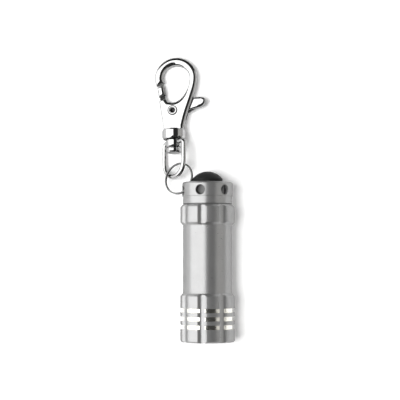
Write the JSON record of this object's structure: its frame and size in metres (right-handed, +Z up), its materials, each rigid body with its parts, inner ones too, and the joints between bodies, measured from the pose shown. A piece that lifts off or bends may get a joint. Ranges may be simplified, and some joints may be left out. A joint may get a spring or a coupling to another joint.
{
  "type": "keychain flashlight",
  "caption": "Small cylindrical aluminium torch with fluted, grooved head, rubber tail button, split ring through the tail rim, and a swivel snap hook.",
  "frame": {"origin": "under the middle of the whole part, on the surface it lies on", "axes": "+Y along the torch from its front face to the hook, +Z up, +X to the right seen from above"},
  "size_m": [0.0296, 0.106, 0.02],
  "materials": {
    "anodised": "satin grey anodised, bright-cut bare aluminium in the three head grooves",
    "clear": "clear acrylic disc",
    "rubber": "matt black silicone rubber",
    "chrome_plastic": "vacuum-plated plastic",
    "led": "clear epoxy",
    "circuit_board": "green laminate",
    "spring_steel": "bright spring wire",
    "sleeve_plastic": "black moulded",
    "cell_can": "nickel-plated steel can",
    "switch_plastic": "black moulded",
    "brass": "turned",
    "chrome": "bright nickel-chrome plate"
  },
  "bodies": {
    "barrel": {"barrel": "anodised", "bezel_ring": "anodised", "lens": "clear", "lens_gasket": "rubber", "reflector": "chrome_plastic", "led_1": "led", "led_2": "led", "led_3": "led", "led_board": "circuit_board", "front_contact_spring": "spring_steel", "battery_sleeve": "sleeve_plastic", "cell_1": "cell_can", "cell_2": "cell_can", "cell_3": "cell_can", "cell_4": "cell_can"},
    "cap_slide": {"tail_seal": "rubber"},
    "tailcap": {"tailcap": "anodised", "switch_housing": "switch_plastic", "switch_retaining_ring": "brass", "tail_contact_spring": "spring_steel"},
    "button": {"button_boot": "rubber", "switch_plunger": "switch_plastic"},
    "ring": {"split_ring": "chrome"},
    "eye": {"swivel_eye": "chrome"},
    "hook": {"hook_body": "chrome", "swivel_post": "chrome", "gate_rivet": "chrome", "gate_spring": "spring_steel"},
    "gate": {"gate_lever": "chrome"}
  },
  "joints": [
    {"name": "cap_travel", "type": "slide", "parent": "barrel", "child": "cap_slide", "axis": [0, 1, 0], "range_m": [0, 0.0051]},
    {"name": "cap_turn", "type": "hinge", "parent": "cap_slide", "child": "tailcap", "pos_m": [0.00482, -0.05295, 0.01], "axis": [0, 1, 0], "range_deg": [0, 1800]},
    {"name": "button_press", "type": "slide", "parent": "tailcap", "child": "button", "axis": [0, -1, 0], "range_m": [0, 0.0012], "stiffness_N_per_m": 1500},
    {"name": "ring_swing", "type": "hinge", "parent": "tailcap", "child": "ring", "pos_m": [-0.00366, 0.0025, 0.01196], "axis": [-0.9744, 0, 0.225], "range_deg": [-15, 45]},
    {"name": "eye_round_ring", "type": "hinge", "parent": "ring", "child": "eye", "pos_m": [-0.00573, 0.00705, 0.0092], "axis": [-0.5164, 0.2301, 0.8249], "range_deg": [-40, 50]},
    {"name": "clip_swivel", "type": "hinge", "parent": "eye", "child": "hook", "pos_m": [-0.00758, 0.0218, 0.00536], "axis": [0, 0.9934, -0.1144], "continuous": true},
    {"name": "gate_open", "type": "hinge", "parent": "hook", "child": "gate", "pos_m": [-0.00808, 0.03257, 0.00407], "axis": [0.0872, -0.114, -0.9897], "range_deg": [0, 25], "stiffness_Nm_per_rad": 0.06, "springref_deg": -11.46}
  ],
  "couplings": [
    {"joint": "cap_travel", "follows": "cap_turn", "m_per_rad": 0.00015915}
  ]
}
